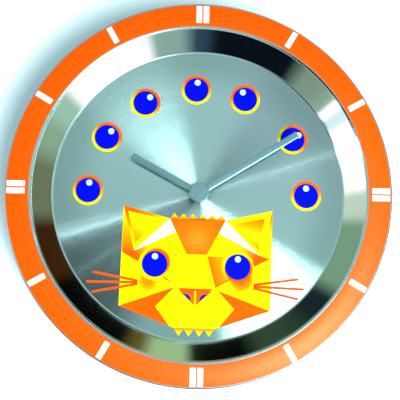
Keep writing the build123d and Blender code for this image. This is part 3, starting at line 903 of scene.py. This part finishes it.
def make_dial_eyes():
    """Seven eyes: shaded rim, blue iris and white glint."""
    first = True
    iris = round_blue("ink_iris")
    line = ink("ink_iris_line", RIM_SHADOW)
    glint_ink = ink("ink_glint", SKY)
    for name, angle, radius, glint in DIAL_EYES:
        turn = math.radians(angle)
        middle = (radius * math.sin(turn), radius * math.cos(turn))
        lean = Vector(glint).normalized() * RIM_DISC_RADIUS
        start = (middle[0] - lean.x, middle[1] - lean.y)
        end = (middle[0] + lean.x, middle[1] + lean.y)
        stops = [(0.25, YELLOW), (0.5, linear(255, 172, 0)), (0.72, linear(255, 104, 6))]
        rim = shaded_ink("ink_rim_" + name, start, end, stops)
        disc = plain_piece("eye_rim_" + name, circle(middle, RIM_DISC_RADIUS, 96), 0, rim)
        if first:
            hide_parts("dial_eyes")
            first = False
        outer = circle(middle, IRIS_RADIUS + RIM_LINE, 96)
        plain_piece("iris_line_" + name, outer, 0.5, line)
        plain_piece("iris_" + name, circle(middle, IRIS_RADIUS, 96), 1, iris)
        spot = (middle[0] + glint[0], middle[1] + glint[1])
        plain_piece("glint_" + name, circle(spot, GLINT_RADIUS, 48), 2, glint_ink)


# ---------------------------------------------------------------- finishes of the CAD nodes


ACETAL_WHEELS = (
    "motion_wheel",
    "hour_wheel",
    "rotor_pinion",
    "intermediate_wheel",
    "seconds_wheel",
    "third_wheel",
    "centre_wheel",
)


def finish_nodes():
    """Give every CAD node that still shows its own procedural finish."""
    hand = steel("hand_satin", (0.46, 0.57, 0.63), 0.3, grain=1500.0, depth=0.000006)
    cap = steel("cap_satin", (0.48, 0.58, 0.64), 0.28, grain=1500.0, depth=0.0000008)
    brass = steel("turned_brass", (0.74, 0.56, 0.26), 0.25)
    plated = steel("nickel_plate", (0.34, 0.37, 0.39), 0.3)
    spring = steel("bright_steel", (0.70, 0.70, 0.69), 0.2)
    zinc = steel("zinc_plate", (0.66, 0.67, 0.66), 0.34, grain=260.0, depth=0.00002)
    lamination = steel("stamped_iron", (0.48, 0.48, 0.47), 0.4)
    nickel = steel("nickel_strip", (0.74, 0.72, 0.67), 0.22)
    acetal = moulded("acetal", (0.80, 0.79, 0.72), 0.42, depth=0.000015)
    finishes = {
        "hour_marks": ink("mark_white", linear(255, 255, 255)),
        "hour_hand": hand,
        "minute_hand": hand,
        "hand_cap": cap,
        "threaded_tube": brass,
        "dial_washer": plated,
        "dial_nut": plated,
        "minute_shaft": brass,
        "clutch_spring": spring,
        "hanger": zinc,
        "stator_plate": lamination,
        "coil_core": lamination,
        "rotor_magnet": moulded("ferrite", (0.05, 0.05, 0.052), 0.6),
        "dial_gasket": moulded("rubber_gasket", (0.025, 0.025, 0.025), 0.75, grain=1200.0),
        "movement_case": moulded("case_black", (0.022, 0.022, 0.024), 0.5),
        "rear_cover": moulded("cover_black", (0.030, 0.030, 0.032), 0.46, grain=3200.0),
        "gear_plate": moulded("plate_grey", (0.16, 0.17, 0.18), 0.5),
        "setting_knob": moulded("knob_grey", (0.10, 0.10, 0.11), 0.38),
        "coil_bobbin": moulded("bobbin_nylon", (0.74, 0.70, 0.58), 0.45),
        "coil_winding": winding(),
        "circuit_board": circuit_resist(),
        "timing_chip": moulded("epoxy_blob", (0.012, 0.012, 0.013), 0.22, grain=300.0),
        "quartz_crystal": steel("crystal_can", (0.78, 0.78, 0.78), 0.16),
        "positive_contact": nickel,
        "negative_contact": nickel,
        "battery": battery_sleeve(),
    }
    finishes.update(dict.fromkeys(ACETAL_WHEELS, acetal))
    for name, material in finishes.items():
        mesh = nodes[name].data
        mesh.materials.clear()
        mesh.materials.append(material)


# ---------------------------------------------------------------- room

# the direction about which the room's clock angles turn, as x and z
VIEW_LEAN = (0.030, 0.130)
# tints of the steel's surroundings
TEAL = (0.56, 1.0, 0.98)
COOL = (0.62, 1.0, 1.06)


def bands():
    """Colours of the room's sides by clock angle, as (from, to, colour)."""
    white = (1.5, 1.5, 1.48, 1.0)
    return [
        (0, 1, linear(16, 27, 11)),
        (5, 15, linear(164, 200, 145)),
        (20, 22, linear(98, 90, 40)),
        (27, 54, linear(3, 4, 2)),
        (58, 76, linear(62, 34, 8)),
        (82, 98, linear(112, 125, 95)),
        (106, 112, linear(146, 178, 152)),
        (118, 124, linear(165, 206, 185)),
        (129, 158, white),
        (163, 172, linear(145, 178, 170)),
        (178, 181, linear(45, 70, 92)),
        (186, 214, linear(4, 12, 22)),
        (221, 226, linear(132, 160, 140)),
        (233, 234, linear(150, 180, 160)),
        (235, 237, white),
        (239, 242, linear(228, 255, 255)),
        (245, 266, white),
        (270, 277, linear(205, 225, 208)),
        (281, 303, linear(125, 165, 135)),
        (309, 316, linear(22, 38, 44)),
        (328, 337, linear(52, 74, 54)),
        (344, 355, linear(4, 6, 3)),
        (359, 360, linear(15, 25, 10)),
    ]


def band_stops(start, end):
    """Ramp stops for one half of the room's sides."""
    stops = []
    for low, high, colour in bands():
        for angle in (low, high):
            if start <= angle <= end:
                stops.append(((angle - start) / (end - start), colour))
    return stops


def make_world():
    """Soft studio: bands around the sides, narrow lamps in front, plain pale behind.

    The angle is a clock angle about the middle of the front, from 0 to 360 degrees.
    """
    world = bpy.data.worlds.new("studio")
    bpy.context.scene.world = world
    world.use_nodes = True
    world.node_tree.nodes.clear()
    tree = Tree(world.node_tree)
    direction = tree.node("ShaderNodeTexCoord").outputs["Generated"]
    x, y, z = tree.split(direction)
    across = tree.math("SUBTRACT", x, VIEW_LEAN[0])
    up = tree.math("SUBTRACT", z, VIEW_LEAN[1])
    turn = tree.math("DIVIDE", tree.math("ARCTAN2", across, up), math.radians(360))
    angle = tree.math("MULTIPLY", tree.math("FRACT", turn), 360.0)
    front = tree.math("MULTIPLY", y, -1.0)

    first = tree.ramp(tree.span(angle, 0.0, 180.0), band_stops(0, 180))
    second = tree.ramp(tree.span(angle, 180.0, 360.0), band_stops(180, 360))
    sides = tree.mix(tree.math("GREATER_THAN", angle, 180.0), first, second)

    def window(low, high, soft):
        rise = tree.smooth(angle, low - soft, low + soft)
        fall = tree.smooth(angle, high - soft, high + soft)
        return tree.math("SUBTRACT", rise, fall)

    base = tree.ramp(
        tree.math("DIVIDE", angle, 360.0),
        [
            (0.0, grey(0.56, TEAL)),
            (0.06, grey(0.60, COOL)),
            (0.17, grey(0.58, COOL)),
            (0.24, grey(0.60, COOL)),
            (0.30, grey(0.60, TEAL)),
            (0.56, grey(0.58, TEAL)),
            (0.60, grey(0.02, TEAL)),
            (0.68, grey(0.02, TEAL)),
            (0.705, grey(0.48, TEAL)),
            (0.85, grey(0.56, TEAL)),
            (1.0, grey(0.56, TEAL)),
        ],
    )

    def depth(low, high):
        rise = tree.smooth(front, low - 0.03, low + 0.03)
        fall = tree.smooth(front, high - 0.03, high + 0.03)
        return tree.math("SUBTRACT", rise, fall)

    def lamp(low, high, soft, within, strength):
        lit_area = tree.math("MULTIPLY", window(low, high, soft), within)
        return tree.math("MULTIPLY", lit_area, strength)

    outer = depth(0.56, 0.95)
    lamps = lamp(251.2, 252.8, 0.4, outer, 9.0)
    for low, high, soft, within, strength in (
        (254.4, 256.4, 0.9, outer, 1.6),
        (235.4, 236.6, 0.5, outer, 2.0),
        (129, 164, 4, depth(0.55, 0.985), 1.45),
        (71.4, 72.4, 0.4, outer, 2.2),
    ):
        lamps = tree.math("ADD", lamps, lamp(low, high, soft, within, strength))
    lit = tree.vector("ADD", base, tree.scale((0.64, 1.0, 1.06), lamps))

    inside = tree.mix(tree.smooth(front, 0.50, 0.54), sides, lit)
    halo = tree.math("SUBTRACT", tree.smooth(front, 0.44, 0.47), tree.smooth(front, 0.53, 0.58))
    glow = tree.math("SUBTRACT", 1.0, tree.math("MULTIPLY", window(0, 70, 12), 0.75))
    inside = tree.mix(tree.math("MULTIPLY", halo, glow), inside, (0.75, 1.15, 1.15, 1))
    rear = tree.ramp(tree.span(z, -1.0, 1.0), [(0.0, grey(0.35)), (0.5, grey(0.75)), (1.0, grey(1.1))])
    studio = tree.mix(tree.smooth(front, -0.12, -0.02), rear, inside)
    seen = tree.node("ShaderNodeLightPath").outputs["Is Camera Ray"]
    colour = tree.mix(seen, studio, linear(236, 244, 246))
    background = tree.node("ShaderNodeBackground", {"Color": colour, "Strength": 1.0})
    output = tree.node("ShaderNodeOutputWorld")
    tree.put(output.inputs["Surface"], background.outputs[0])


WALL_REACH = 8000.0


def make_wall():
    """Pale wall behind the clock, seen from the front only."""
    material = bpy.data.materials.new("wall_paint")
    material.use_nodes = True
    material.node_tree.nodes.clear()
    tree = Tree(material.node_tree)
    paint = tree.node("ShaderNodeBsdfDiffuse", {"Color": (0.84, 0.93, 1.0, 1)})
    clear = tree.node("ShaderNodeBsdfTransparent")
    behind = tree.node("ShaderNodeNewGeometry").outputs["Backfacing"]
    cover = tree.node("ShaderNodeMixShader", {0: behind, 1: paint.outputs[0], 2: clear.outputs[0]})
    output = tree.node("ShaderNodeOutputMaterial")
    tree.put(output.inputs["Surface"], cover.outputs[0])
    reach, gap = WALL_REACH, -0.5
    wall = new_object(
        "wall",
        [(-reach, gap, -reach), (reach, gap, -reach), (reach, gap, reach), (-reach, gap, reach)],
        [(0, 1, 2, 3)],
        [material],
    )
    wall.visible_shadow = False
    wall.visible_diffuse = False
    wall.visible_glossy = False


def area_light(name, place, target, size, power, colour=(1, 1, 1)):
    """Soft round light aimed at a point, with places in metres."""
    data = bpy.data.lights.new(name, "AREA")
    data.shape = "DISK"
    data.size = size
    data.energy = power
    data.color = colour
    lamp = bpy.data.objects.new(name, data)
    lamp.location = place
    lamp.rotation_euler = (Vector(target) - Vector(place)).to_track_quat("-Z", "Y").to_euler()
    bpy.context.scene.collection.objects.link(lamp)
    lamp.visible_camera = False
    return lamp


def make_lights():
    """Key light from the lower right front, two lamps for reflections, a wall wash and a back light.

    The sheen lights only the orange band, and the wash only the wall.
    """
    key = area_light("key", (0.30, -0.62, -0.40), (0, 0, 0), 0.30, 7.6, (1.0, 0.90, 0.86))
    key.visible_glossy = False
    gleam = area_light("gleam", (0.231, -0.877, -0.182), (0, 0, 0), 0.31, 1.28, (0.58, 1.0, 1.0))
    gleam.visible_diffuse = False
    sheen = area_light("band_sheen", (0.25, -0.877, -0.20), (0, 0, 0), 0.25, 34.0, (1.0, 1.0, 0.55))
    sheen.visible_diffuse = False
    lit_by_sheen = bpy.data.collections.new("lit_by_sheen")
    lit_by_sheen.objects.link(bpy.data.objects["orange_band"])
    sheen.light_linking.receiver_collection = lit_by_sheen
    wash = area_light("wall_wash", (0.9, -1.9, -0.95), (0, 0, 0), 1.3, 60.0)
    lit_by_wash = bpy.data.collections.new("lit_by_wash")
    lit_by_wash.objects.link(bpy.data.objects["wall"])
    wash.light_linking.receiver_collection = lit_by_wash
    area_light("back", (0.9, 1.6, 1.2), (0, 0, 0), 1.4, 30.0)


CAMERA_PLACE = (-0.01921, -0.64827, -0.08337)
CAMERA_FORWARD = (0.03174, 0.99178, 0.12393)
CAMERA_UP = (-0.02185, -0.12327, 0.99213)


def make_camera():
    """Camera a little below and left of the hands' axis, looking slightly up."""
    data = bpy.data.cameras.new("camera")
    data.lens = 72.0
    data.sensor_width = 36.0
    camera = bpy.data.objects.new("camera", data)
    forward = Vector(CAMERA_FORWARD).normalized()
    up = Vector(CAMERA_UP)
    right = forward.cross(up).normalized()
    up = right.cross(forward)
    turn = Matrix((right, up, -forward)).transposed().to_4x4()
    camera.matrix_world = Matrix.Translation(CAMERA_PLACE) @ turn
    bpy.context.scene.collection.objects.link(camera)
    bpy.context.scene.camera = camera


# ---------------------------------------------------------------- build

make_dish()
make_band()
make_face_base()
make_forehead()
make_brows()
make_left_ear()
make_right_ear()
make_temples()
make_bridge()
make_eyes()
make_muzzle()
make_whiskers()
make_dial_eyes()
finish_nodes()
make_world()
make_wall()
make_lights()
make_camera()
bpy.context.scene.view_settings.view_transform = "Standard"
